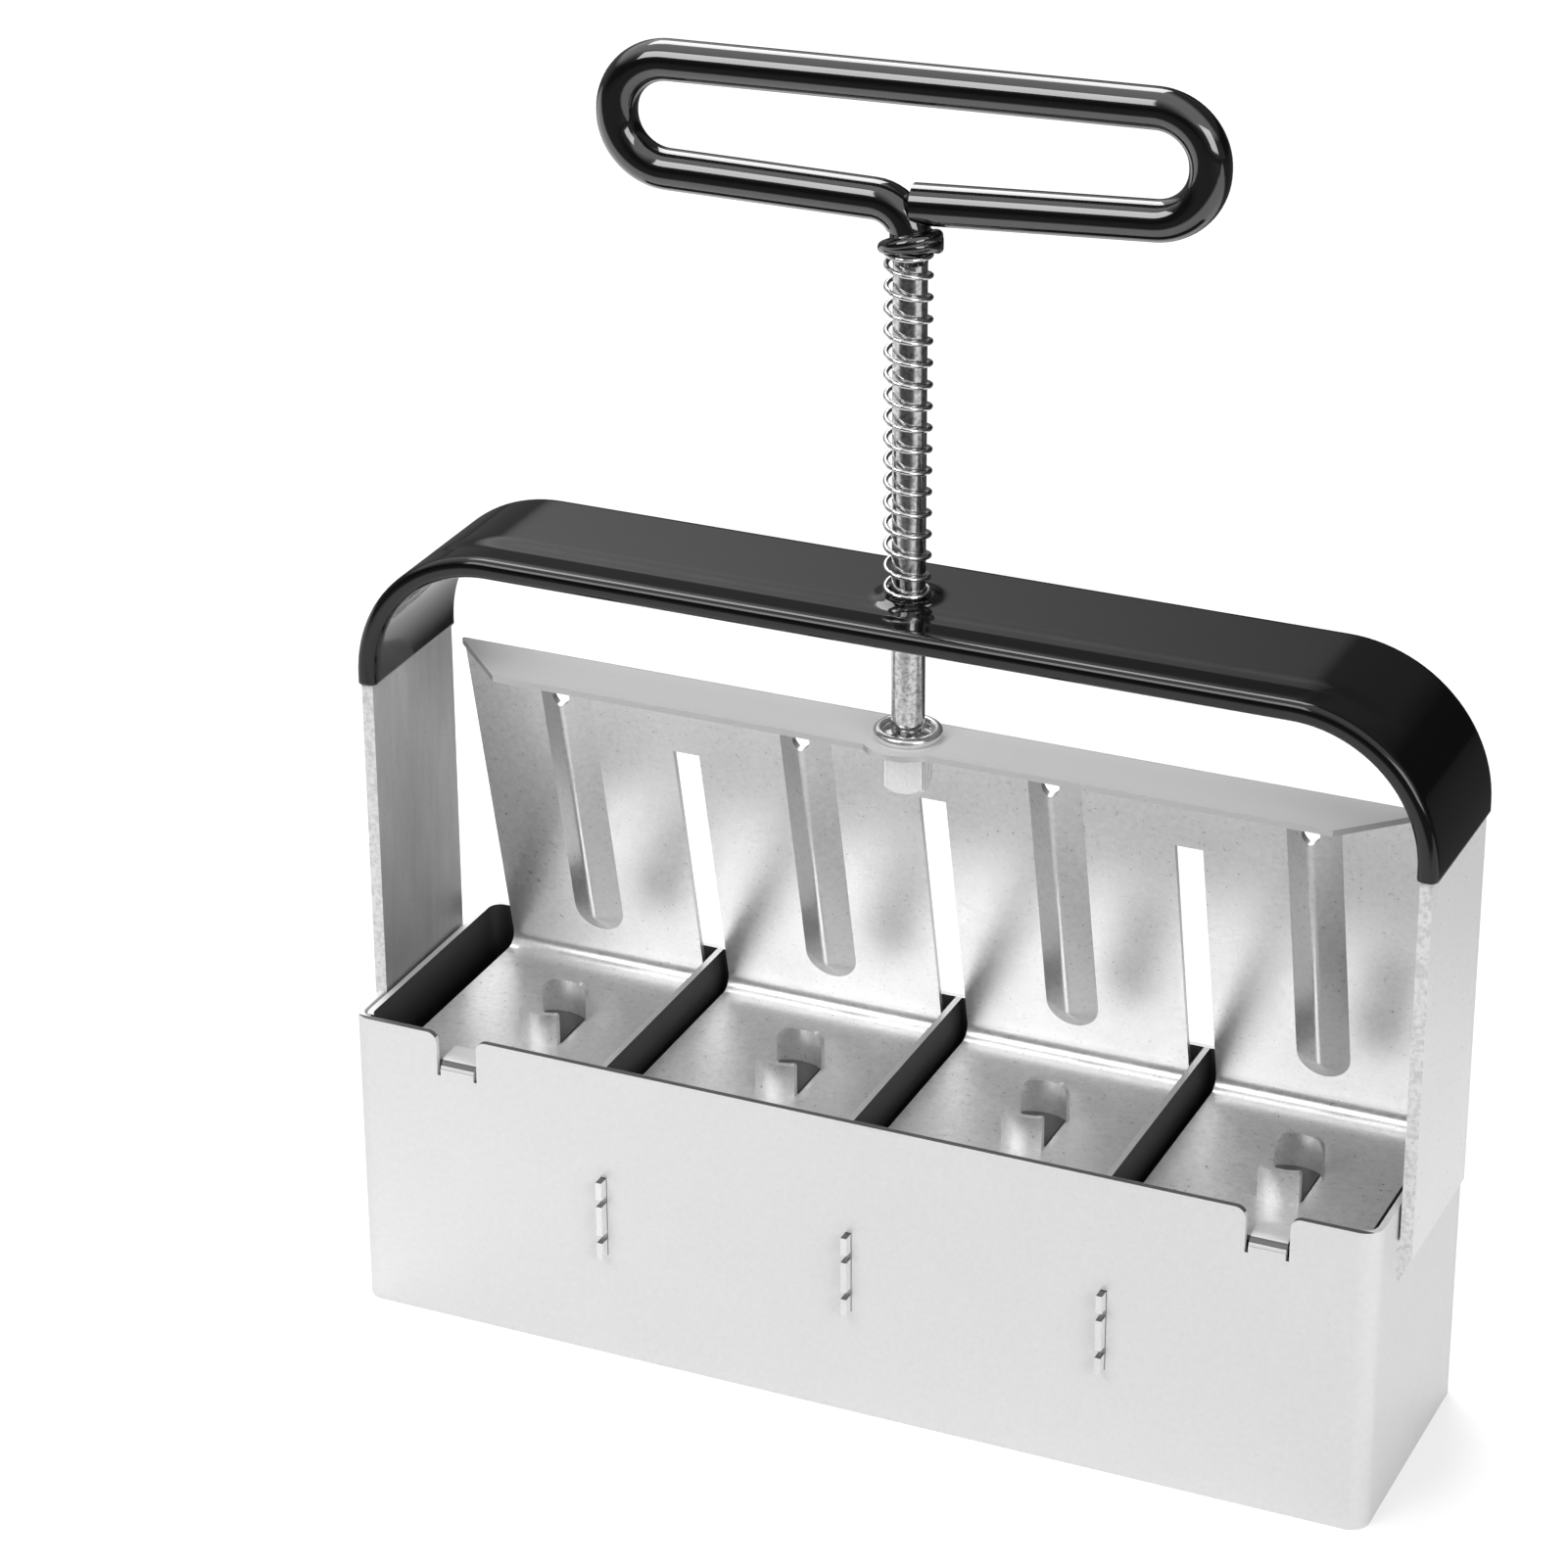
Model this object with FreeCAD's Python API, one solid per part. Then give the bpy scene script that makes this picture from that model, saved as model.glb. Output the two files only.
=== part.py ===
"""Four-cell hand soil blocker: open sheet-metal case, spring-return plunger and ejector.

Frame: origin at the middle of the case's cutting rim, X along the row of cells,
Y from the front wall to the back wall, Z up the plunger. Millimetres.
"""
import FreeCAD, Part
import math
import os

from FreeCAD import Placement, Rotation, Vector

# ---------------------------------------------------------------- driving dimensions
# Case: one bent sheet strip, open at top and bottom, split by dividers
cell_count = 4
cell_length = 49.9
cell_depth = 52.8
case_height = 63.0
case_sheet = 1.2
corner_inner_radius = 2.6
lap_end_gap = 0.3              # between the lap's end and the strap's leg
lap_gap = 0.8                  # the lap stands off the wall by this much

# Divider plates between the cells
divider_sheet = 1.2
divider_tab_height = 16.9
divider_tab_low = 22.4         # lower end of the tab above the cutting rim
divider_tab_proud = 2.3
divider_slot_play = 0.1
tab_notch_height = 1.6
tab_notch_places = (3.6, 11.6)  # notches in a divider tab, above its lower end

# Notches in the front rim with the ejector's stop tabs
stop_notch_width = 8.5
stop_notch_from_end = 19.5     # to the inner face of the end wall
stop_notch_round = 2.0
stop_tab_width = 7.1
stop_tab_reach = 5.2           # from the inner face of the front wall
stop_tab_bend = 1.4            # inside bend radius
stop_tab_relief = 1.4          # depth of the slits beside the tab
stop_notch_depth = 7.6
stop_tab_rise = 0.75           # underside of the tab above the notch floor

# Handle strap over the case
strap_width = 32.0
strap_sheet = 2.4
strap_gap = 0.5                # between a leg and the end wall
strap_bend_radius = 27.2       # outside radius of the two upper bends
strap_overlap = 8.5            # the legs reach this far below the case's rim
strap_hole_play = 0.08         # radial running fit on the rod
hand_gap = 24.9                # between the ejector's flange and the strap

# Weld between each strap leg and the case
weld_drop = 7.5                # below the strap's foot
weld_rise = 1.6                # between the strap and the wall
weld_toe = 0.3                 # thickness at its lower end
weld_land = 2.0                # upright strip under the strap's outer face

# Vinyl skin dipped on the strap
grip_skin = 0.8
grip_leg = 2.0                 # below the strap's bends
grip_edge_round = 1.6
grip_hole_play = 0.7
meniscus_height = 0.6
meniscus_rim = 0.25            # its upper edge round the spring
meniscus_flare = 0.9           # its foot round the upper edge

# Plunger rod bent into the loop handle
rod_diameter = 6.2
loop_length = 116.0            # over the vinyl
loop_shift = -0.5              # middle of the loop beside the rod
loop_height = 30.4             # from the collar to the top of the vinyl
loop_run_gap = 19.8            # between the axes of the upper and lower run
loop_sag = 1.9                 # the lower runs drop by this much at the rod
loop_turn = 5.0                # degrees about the rod
loop_end_past_axis = 1.3       # the cut end of the right lower run
loop_end_flat = 0.1            # straight piece between the two bends of each end
rod_bend_radius = 7.0
thread_diameter = 5.0

# Vinyl on the loop and on the top turns of the spring
loop_skin = 0.65
collar_height = 4.8
collar_diameter = 11.7
collar_turn_diameter = 2.5
collar_turn_places = (0.27, 0.73)  # heights of the turns as shares of the collar
collar_tilt = 7.0              # degrees
collar_stub_place = 0.6        # height of the wire's end as a share of the collar
collar_stub_reach = 4.8
collar_stub_turn = 5.7         # degrees about the rod

# Return spring
spring_wire = 0.9
spring_play = 0.55             # radial, on the rod
spring_pitch = 4.43
spring_length = 64.4
spring_start_turn = 243.0      # degrees about the rod, of the wire's lower end
press_travel = 45.0            # from rest to the end of the plunger's stroke

# Ejector: one sheet folded into a top flange, a sloping plate and four pads
ejector_sheet = 1.2
ejector_left_gap = 5.5         # to the end wall
ejector_right_gap = 3.9        # to the end wall
pad_front_gap = 1.4            # to the front wall
plate_back_gap = 0.4           # to the back wall
stop_play = 0.05               # between a pad and its stop tab at rest
flange_above_slots = 18.3
flange_depth = 14.5            # from the inside of its bend to the front edge
flange_rise_back = 8.0         # inside of the top bend, behind the rod's axis
flange_chamfer = 13.5
flange_lobe_radius = 9.0
flange_hole_play = 0.02        # radial, on the rod's threaded end
pad_bend_radius = 2.6          # inside, at the back of the pads
flange_bend_radius = 1.4       # inside
slot_side_gap = 2.15           # to each side of a divider
slot_end_gap = 4.0             # above a divider at the end of the stroke

# Roof-shaped stiffening ribs pressed forward out of the plate
press_pitch_less = 0.7         # ribs and sockets are this much closer than the cells
rib_width = 10.6
rib_height = 2.8               # to the crest before it is rounded
rib_crest_radius = 1.7
rib_above_pad = 7.9
rib_below_flange = 2.2
rib_vent_diameter = 3.6        # small opening through the crest under the flange
rib_vent_below_flange = 8.6

# Seed pin sockets lanced out of the pads
socket_shift_x = 2.9           # middle of the row of sockets beside the rod
socket_middle_y = -4.8
socket_width = 8.6
socket_length = 12.6
socket_arc_radius = 8.0
socket_front_width = 8.1
socket_front_height = 6.6
socket_front_round = 0.6
socket_rear_width = 9.4
socket_rear_height = 7.2
socket_rear_round = 2.2

# Seed pins
pin_play = 0.12
pin_shank_above = 0.4          # end of the shank above the pad
pin_flange_size = 14.0
pin_flange_height = 1.5
pin_flange_round = 2.0
pin_diameter = 8.0
pin_length = 7.5
pin_nose_round = 2.6

# Push-on washer above the flange and locking nut below it
washer_diameter = 13.0
washer_height = 2.1            # of its full-round rim
washer_tooth_rise = 0.6        # of the teeth from the rim to the rod
washer_tooth_sheet = 0.6
washer_teeth = 6
washer_tooth_gap = 1.3
nut_size = 7.8
nut_height = 8.8
nut_turn = 8.0                 # degrees
nut_face_radius = 4.05         # round lower face, before the corners slope up
nut_edge_round = 0.9
thread_end = 0.4               # threaded end past the nut

clear = 1.0                    # cutters run past the faces they open by this much
touch = 0.01                   # two places nearer than this are the same

# ---------------------------------------------------------------- derived places
cell_pitch = cell_length + divider_sheet
inner_half_x = cell_count * cell_length / 2 + (cell_count - 1) * divider_sheet / 2
inner_half_y = cell_depth / 2
outer_half_x = inner_half_x + case_sheet
outer_half_y = inner_half_y + case_sheet
corner_radius = corner_inner_radius + case_sheet
divider_places = [(i - (cell_count - 2) / 2) * cell_pitch for i in range(cell_count - 1)]
press_pitch = cell_pitch - press_pitch_less
press_places = [(i - (cell_count - 1) / 2) * press_pitch for i in range(cell_count)]

lap_outer_half = outer_half_x + lap_gap + case_sheet
strap_inner_half = outer_half_x + strap_gap
strap_outer_half = strap_inner_half + strap_sheet
strap_foot = case_height - strap_overlap

stop_notch_floor = case_height - stop_notch_depth
stop_notch_place = inner_half_x - stop_notch_from_end
stop_tab_under = stop_notch_floor + stop_tab_rise
pad_top = stop_tab_under - stop_play
pad_front_y = -inner_half_y + pad_front_gap
plate_face_y = inner_half_y - plate_back_gap - ejector_sheet
plate_top_y = flange_rise_back
slot_width = divider_sheet + 2 * slot_side_gap
slot_top = case_height + press_travel + slot_end_gap
flange_top = slot_top + flange_above_slots
flange_under = flange_top - ejector_sheet
flange_front_y = plate_top_y - flange_depth
plate_tilt = math.degrees(math.atan2(plate_face_y - plate_top_y, flange_under - pad_top))
ejector_left = ejector_left_gap - inner_half_x
ejector_right = inner_half_x - ejector_right_gap
rib_low = pad_top + rib_above_pad
rib_high = flange_top - rib_below_flange
rib_slope = math.atan2(rib_height, rib_width / 2)

strap_top = flange_top + hand_gap + strap_sheet
grip_foot = strap_top - strap_bend_radius - grip_leg
grip_top = strap_top + grip_skin
spring_seat = grip_top + meniscus_height
spring_diameter = rod_diameter + 2 * (spring_play + spring_wire)
collar_low = spring_seat + spring_length
collar_high = collar_low + collar_height
loop_outer_diameter = rod_diameter + 2 * loop_skin
loop_upper_z = collar_high + loop_height - loop_outer_diameter / 2
loop_lower_z = loop_upper_z - loop_run_gap
loop_half = loop_length / 2 - loop_outer_diameter / 2
rod_shoulder = flange_top


# ---------------------------------------------------------------- shared helpers
def rounded_path(points, radii):
    """Edges of a polyline whose inner corners are tangent arcs."""
    points = [Vector(*p) for p in points]
    edges = []
    start = points[0]
    for i in range(1, len(points) - 1):
        corner = points[i]
        to_last = (points[i - 1] - corner).normalize()
        to_next = (points[i + 1] - corner).normalize()
        half_angle = to_last.getAngle(to_next) / 2
        cut = radii[i - 1] / math.tan(half_angle)
        first = corner + to_last * cut
        last = corner + to_next * cut
        bisector = (to_last + to_next).normalize()
        centre = corner + bisector * (radii[i - 1] / math.sin(half_angle))
        middle = centre - bisector * radii[i - 1]
        if (first - start).Length > touch:
            edges.append(Part.LineSegment(start, first).toShape())
        edges.append(Part.Arc(first, middle, last).toShape())
        start = last
    if (points[-1] - start).Length > touch:
        edges.append(Part.LineSegment(start, points[-1]).toShape())
    return edges


def offset_points(points, distance, normal):
    """The polyline moved sideways by distance, with mitred corners."""
    points = [Vector(*p) for p in points]
    moved = []
    for i, point in enumerate(points):
        before = (point - points[i - 1]).normalize() if i > 0 else None
        after = (points[i + 1] - point).normalize() if i < len(points) - 1 else None
        sides = [normal.cross(d) for d in (before, after) if d is not None]
        mitre = sides[0] if len(sides) == 1 else (sides[0] + sides[1]).normalize()
        moved.append(point + mitre * (distance / mitre.dot(sides[0])))
    return [(p.x, p.y, p.z) for p in moved]


def bent_sheet(points, inner_radii, thickness, normal, depth, thick_side=1):
    """A sheet of constant thickness along a polyline, extruded by the vector depth.

    points lie on one face of the sheet; thick_side tells on which side of it
    the other face lies; inner_radii are the inside bend radii.
    """
    vectors = [Vector(*p) for p in points]
    other = offset_points(points, thick_side * thickness, normal)
    near_radii = []
    far_radii = []
    for i in range(1, len(vectors) - 1):
        turn = (vectors[i] - vectors[i - 1]).cross(vectors[i + 1] - vectors[i]).dot(normal)
        bends_to_other = turn * thick_side > 0
        inner = inner_radii[i - 1]
        near_radii.append(inner + thickness if bends_to_other else inner)
        far_radii.append(inner if bends_to_other else inner + thickness)
    near = rounded_path(points, near_radii)
    far = rounded_path(other, far_radii)
    caps = [Part.LineSegment(Vector(*points[i]), Vector(*other[i])).toShape() for i in (0, -1)]
    outline = Part.Wire(Part.__sortEdges__(near + far + caps))
    return Part.Face(outline).extrude(depth)


def box(x_low, x_high, y_low, y_high, z_low, z_high):
    """A box given by its limits."""
    size = (x_high - x_low, y_high - y_low, z_high - z_low)
    return Part.makeBox(*size, Vector(x_low, y_low, z_low))


def cylinder_z(diameter, z_low, z_high, x=0.0, y=0.0):
    """An upright cylinder."""
    return Part.makeCylinder(diameter / 2, z_high - z_low, Vector(x, y, z_low))


def pipe(edges, diameter):
    """A round bar along a chain of edges."""
    spine = Part.Wire(edges)
    start = spine.Edges[0]
    origin = start.valueAt(start.FirstParameter)
    direction = start.tangentAt(start.FirstParameter)
    profile = Part.Wire([Part.makeCircle(diameter / 2, origin, direction)])
    return spine.makePipeShell([profile], True, True)


def turned(profile_points, x=0.0, y=0.0):
    """A closed (radius, z) polyline turned about an upright axis."""
    points = [Vector(r, 0, z) for r, z in profile_points]
    face = Part.Face(Part.makePolygon(points + [points[0]]))
    solid = face.revolve(Vector(0, 0, 0), Vector(0, 0, 1), 360)
    solid.translate(Vector(x, y, 0))
    return solid


def rounded_block(x_middle, y_middle, length, depth, z_low, height, radius):
    """An upright block with four round corners."""
    x_half = length / 2
    y_half = depth / 2
    block = box(x_middle - x_half, x_middle + x_half, y_middle - y_half, y_middle + y_half,
                z_low, z_low + height)
    upright = [e for e in block.Edges if abs(e.tangentAt(e.FirstParameter).z) > 0.9]
    return block.makeFillet(radius, upright)


# ---------------------------------------------------------------- case
def case_strip():
    """The case wall: closed on three corners, lapped beside the front left one."""
    ring = rounded_block(0, 0, 2 * outer_half_x, 2 * outer_half_y, 0, case_height, corner_radius)
    ring = ring.cut(rounded_block(0, 0, 2 * inner_half_x, 2 * inner_half_y, 0, case_height,
                                  corner_inner_radius))
    corner_cut = box(-lap_outer_half, -inner_half_x + corner_radius, -outer_half_y - clear,
                     -inner_half_y + lap_gap, 0, case_height)
    ring = ring.cut(corner_cut)
    lap = bent_sheet([(-inner_half_x + corner_radius, -outer_half_y, 0),
                      (-lap_outer_half, -outer_half_y, 0),
                      (-lap_outer_half, -strap_width / 2 - lap_end_gap, 0)],
                     [corner_inner_radius], case_sheet, Vector(0, 0, 1),
                     Vector(0, 0, case_height), thick_side=-1)
    return ring.fuse(lap).removeSplitter()


def stop_notch(x):
    """Cutter for one notch of the front rim, with rounded mouth corners."""
    y_out = -outer_half_y - clear
    y_in = -inner_half_y + clear
    half = stop_notch_width / 2
    cutter = box(x - half, x + half, y_out, y_in, stop_notch_floor, case_height + clear)
    for side in (-1, 1):
        edge = x + side * half
        past_edge = edge + side * stop_notch_round
        round_z = case_height - stop_notch_round
        corner = box(*sorted((edge, past_edge)), y_out, y_in, round_z, case_height + clear)
        round_off = Part.makeCylinder(stop_notch_round, y_in - y_out,
                                      Vector(past_edge, y_out, round_z), Vector(0, 1, 0))
        slit = box(*sorted((edge, x + side * stop_tab_width / 2)), y_out, y_in,
                   stop_notch_floor - stop_tab_relief, case_height)
        cutter = cutter.fuse(corner.cut(round_off)).fuse(slit)
    return cutter


def stop_tab(x):
    """The tongue bent inward from the floor of a rim notch, over the ejector pad."""
    y_outside = -outer_half_y
    tongue_top = stop_tab_under + case_sheet
    start_z = stop_notch_floor - stop_tab_relief - case_sheet
    points = [(x - stop_tab_width / 2, y_outside, start_z),
              (x - stop_tab_width / 2, y_outside, tongue_top),
              (x - stop_tab_width / 2, -inner_half_y + stop_tab_reach, tongue_top)]
    return bent_sheet(points, [stop_tab_bend], case_sheet, Vector(1, 0, 0),
                      Vector(stop_tab_width, 0, 0), thick_side=-1)


def case_shell():
    """Case wall with divider slots, rim notches and stop tabs."""
    shell = case_strip()
    for x in divider_places:
        half = divider_sheet / 2 + divider_slot_play
        low = divider_tab_low - divider_slot_play
        high = divider_tab_low + divider_tab_height + divider_slot_play
        shell = shell.cut(box(x - half, x + half, -outer_half_y - clear, outer_half_y + clear,
                              low, high))
    for x in (-stop_notch_place, stop_notch_place):
        shell = shell.cut(stop_notch(x)).fuse(stop_tab(x))
    return shell.removeSplitter()


def divider(x):
    """One divider plate with a toothed tab through the front and the back wall."""
    half = divider_sheet / 2
    plate = box(x - half, x + half, -inner_half_y, inner_half_y, 0, case_height)
    tab_end = outer_half_y + divider_tab_proud
    tab = box(x - half, x + half, -tab_end, tab_end, divider_tab_low,
              divider_tab_low + divider_tab_height)
    plate = plate.fuse(tab)
    for place in tab_notch_places:
        low = divider_tab_low + place
        for side in (-1, 1):
            notch_ends = sorted((side * (outer_half_y + divider_slot_play),
                                 side * (tab_end + clear)))
            plate = plate.cut(box(x - half, x + half, *notch_ends, low, low + tab_notch_height))
    return plate.removeSplitter()


# ---------------------------------------------------------------- handle strap
def strap_bar(foot):
    """The bent strip from foot to foot."""
    y_front = -strap_width / 2
    inner_radius = strap_bend_radius - strap_sheet
    points = [(-strap_outer_half, y_front, foot), (-strap_outer_half, y_front, strap_top),
              (strap_outer_half, y_front, strap_top), (strap_outer_half, y_front, foot)]
    return bent_sheet(points, [inner_radius, inner_radius], strap_sheet, Vector(0, -1, 0),
                      Vector(0, strap_width, 0), thick_side=-1)


def handle_strap():
    """U-shaped steel strip with the rod's guide hole in the middle."""
    hole = cylinder_z(rod_diameter + 2 * strap_hole_play, strap_top - strap_sheet - clear,
                      strap_top + clear)
    return strap_bar(strap_foot).cut(hole)


def strap_grip():
    """Vinyl skin over the upper strap, with a low meniscus round the rod."""
    middle_x = strap_outer_half - strap_sheet / 2
    middle_z = strap_top - strap_sheet / 2
    middle_radius = strap_bend_radius - strap_sheet / 2
    path = rounded_path([(-middle_x, 0, grip_foot), (-middle_x, 0, middle_z),
                         (middle_x, 0, middle_z), (middle_x, 0, grip_foot)],
                        [middle_radius, middle_radius])
    section = rounded_block(-middle_x, 0, strap_sheet + 2 * grip_skin,
                            strap_width + 2 * grip_skin, grip_foot, grip_skin, grip_edge_round)
    end = [f for f in section.Faces if f.BoundBox.ZMax < grip_foot + touch][0]
    skin = Part.Wire(path).makePipeShell([end.OuterWire], True, False)
    rim_radius = spring_diameter / 2 + meniscus_rim
    foot_radius = rim_radius + meniscus_flare
    meniscus = turned([(0, strap_top), (foot_radius, strap_top), (foot_radius, grip_top),
                       (rim_radius, spring_seat), (0, spring_seat)])
    hole = cylinder_z(rod_diameter + 2 * grip_hole_play,
                      strap_top - strap_sheet - grip_skin - clear, spring_seat + clear)
    return skin.fuse(meniscus).cut(strap_bar(strap_foot)).cut(hole)


def strap_weld(side):
    """Sloped weld bead under one strap leg, joining it to the case wall."""
    y_front = -strap_width / 2
    outline = [(outer_half_x, strap_foot - weld_drop),
               (outer_half_x + weld_toe, strap_foot - weld_drop),
               (strap_outer_half, strap_foot - weld_land),
               (strap_outer_half, strap_foot),
               (strap_inner_half, strap_foot),
               (strap_inner_half, strap_foot + weld_rise),
               (outer_half_x, strap_foot + weld_rise)]
    corners = [Vector(side * x, y_front, z) for x, z in outline]
    bead = Part.Face(Part.makePolygon(corners + [corners[0]]))
    return bead.extrude(Vector(0, strap_width, 0)).cut(case_strip())


# ---------------------------------------------------------------- plunger rod and loop
def loop_bar(diameter, cut_back):
    """The bent bar from its cut end round the loop and down to the shoulder.

    It is made in two halves that meet in the middle of the upper run, because
    the cut end lies against the bend of the other half.
    """
    end_radius = (loop_run_gap - loop_end_flat) / 2
    left = loop_shift - loop_half
    right = loop_shift + loop_half
    run_end_z = loop_lower_z - loop_sag
    top_middle = (loop_shift, 0, loop_upper_z)
    right_half = rounded_path([(loop_end_past_axis - cut_back, 0, run_end_z),
                               (right, 0, loop_lower_z),
                               (right, 0, loop_upper_z), top_middle],
                              [end_radius, end_radius])
    left_half = rounded_path([top_middle, (left, 0, loop_upper_z),
                              (left, 0, loop_lower_z), (0, 0, run_end_z),
                              (0, 0, rod_shoulder)],
                             [end_radius, end_radius, rod_bend_radius])
    bar = pipe(right_half, diameter).fuse(pipe(left_half, diameter))
    bar.rotate(Vector(0, 0, 0), Vector(0, 0, 1), loop_turn)
    return bar


def plunger_rod():
    """Loop, shaft and the threaded end through the flange and the nut."""
    thread_low = flange_under - nut_height - thread_end
    return loop_bar(rod_diameter, 0).fuse(cylinder_z(thread_diameter, thread_low, rod_shoulder))


def loop_grip():
    """Vinyl skin on the loop, down to the collar."""
    below = cylinder_z(2 * loop_outer_diameter, rod_shoulder - clear, collar_high)
    return loop_bar(loop_outer_diameter, loop_skin).cut(below).cut(loop_bar(rod_diameter, 0))


def spring_collar():
    """The dipped top turns of the spring, set in vinyl under the loop."""
    ring_radius = (collar_diameter - collar_turn_diameter) / 2
    body = cylinder_z(2 * ring_radius, collar_low, collar_high)
    for share in collar_turn_places:
        ring = Part.makeTorus(ring_radius, collar_turn_diameter / 2)
        ring.rotate(Vector(0, 0, 0), Vector(0, 1, 0), -collar_tilt)
        ring.translate(Vector(0, 0, collar_low + share * collar_height))
        body = body.fuse(ring)
    root = Vector(0, 0, collar_low + collar_stub_place * collar_height)
    turn = math.radians(collar_stub_turn)
    direction = Vector(math.cos(turn), math.sin(turn), 0)
    stub = Part.makeCylinder(collar_turn_diameter / 2, collar_stub_reach, root, direction)
    tip = Part.makeSphere(collar_turn_diameter / 2, root + direction * collar_stub_reach)
    body = body.fuse(stub).fuse(tip)
    trim = cylinder_z(2 * (collar_diameter + collar_stub_reach), collar_low, collar_high)
    return body.common(trim).cut(loop_bar(rod_diameter, 0))


def return_spring():
    """Left-hand compression spring between the strap and the collar."""
    radius = (spring_diameter - spring_wire) / 2
    height = collar_low - spring_seat - spring_wire
    helix = Part.makeHelix(spring_pitch, height, radius, 0, True)
    start = helix.Edges[0]
    origin = start.valueAt(start.FirstParameter)
    direction = start.tangentAt(start.FirstParameter)
    profile = Part.Wire([Part.makeCircle(spring_wire / 2, origin, direction)])
    coil = Part.Wire(helix.Edges).makePipeShell([profile], True, True)
    coil.rotate(Vector(0, 0, 0), Vector(0, 0, 1), spring_start_turn)
    coil.translate(Vector(0, 0, spring_seat + spring_wire / 2))
    trim = cylinder_z(2 * spring_diameter, spring_seat, collar_low)
    return coil.common(trim)


# ---------------------------------------------------------------- ejector
def plate_placement(height):
    """Frame on the plate's front face at a height: local Z up the plate, local -Y forward."""
    run = (height - pad_top) * math.tan(math.radians(plate_tilt))
    return Placement(Vector(0, plate_face_y - run, height), Rotation(Vector(1, 0, 0), plate_tilt))


def ejector_sheet_body():
    """The folded sheet before slots, ribs and sockets."""
    points = [(ejector_left, pad_front_y, pad_top),
              (ejector_left, plate_face_y, pad_top),
              (ejector_left, plate_top_y, flange_under),
              (ejector_left, flange_front_y, flange_under)]
    radii = [pad_bend_radius, flange_bend_radius]
    return bent_sheet(points, radii, ejector_sheet, Vector(1, 0, 0),
                      Vector(ejector_right - ejector_left, 0, 0), thick_side=-1)


def flange_corner_cut(end, side):
    """Cutter for one chamfered front corner of the flange; end is its x."""
    outline = [(0, flange_front_y + flange_chamfer), (clear, flange_front_y + flange_chamfer),
               (clear, flange_front_y - clear), (-flange_chamfer, flange_front_y - clear),
               (-flange_chamfer, flange_front_y)]
    corners = [Vector(end + side * x, y, flange_under - clear) for x, y in outline]
    face = Part.Face(Part.makePolygon(corners + [corners[0]]))
    return face.extrude(Vector(0, 0, ejector_sheet + 2 * clear))


def rib_form(height, crest_radius, base_y, length):
    """A roof-shaped bar along Z with a round lower end; its crest points to -Y."""
    half = height / math.tan(rib_slope)
    flanks = rounded_path([(-half, base_y, 0), (0, base_y - height, 0), (half, base_y, 0)],
                          [crest_radius])
    back = Part.LineSegment(Vector(-half, base_y, 0), Vector(half, base_y, 0)).toShape()
    roof = Part.Face(Part.Wire(Part.__sortEdges__(flanks + [back])))
    right_half = roof.common(box(0, half, base_y - height, base_y, -clear, clear)).Faces[0]
    end = right_half.revolve(Vector(0, 0, 0), Vector(0, 1, 0), 360)
    return roof.extrude(Vector(0, 0, length)).fuse(end)


def rib_bodies(x):
    """Outer roof and inner hollow of one rib; a vent opens its crest below the flange."""
    rise = math.cos(math.radians(plate_tilt))
    turn_z = rib_low + rib_width / 2 * rise
    length = (rib_high - turn_z) / rise
    outer = rib_form(rib_height, rib_crest_radius, 0, length)
    hollow_height = rib_height + ejector_sheet - ejector_sheet / math.cos(rib_slope)
    hollow = rib_form(hollow_height + clear, rib_crest_radius - ejector_sheet,
                      ejector_sheet + clear, length - ejector_sheet)
    vent_z = (flange_top - rib_vent_below_flange - turn_z) / rise
    vent = Part.makeCylinder(rib_vent_diameter / 2, rib_height + clear,
                             Vector(0, -rib_height - clear, vent_z), Vector(0, 1, 0))
    shapes = []
    for shape in (outer, hollow.fuse(vent)):
        shape.Placement = plate_placement(turn_z)
        shape.translate(Vector(x, 0, 0))
        shapes.append(shape)
    return shapes


def socket_window(x, play, low, height):
    """Window of a seed pin socket: straight sides, arched front and rear."""
    half_width = socket_width / 2 - play
    half_length = socket_length / 2 - play
    arc = socket_arc_radius
    block = box(x - half_width, x + half_width, socket_middle_y - half_length,
                socket_middle_y + half_length, low, low + height)
    for side in (-1, 1):
        centre_y = socket_middle_y + side * (half_length - arc)
        disc = cylinder_z(2 * arc, low, low + height, x, centre_y)
        keep = box(x - arc, x + arc, *sorted((centre_y, centre_y - side * 2 * socket_length)),
                   low, low + height)
        block = block.common(disc.fuse(keep))
    return block


def socket_tab(x, side, width, height, corner_round):
    """One arched tab standing on the rim of the window."""
    arc = socket_arc_radius
    half = width / 2
    centre_y = socket_middle_y + side * (socket_length / 2 - arc)
    low = pad_top - ejector_sheet
    top = pad_top + height
    wall = cylinder_z(2 * (arc + ejector_sheet), low, top, x, centre_y)
    wall = wall.cut(cylinder_z(2 * arc, low, top, x, centre_y))
    outside_y = centre_y + side * (arc + 2 * ejector_sheet)
    outline = box(x - half, x + half, *sorted((centre_y, outside_y)), low, top)
    top_edges = [e for e in outline.Edges
                 if e.BoundBox.ZMin > top - touch and e.BoundBox.YLength > e.BoundBox.XLength]
    return wall.common(outline.makeFillet(corner_round, top_edges))


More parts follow.
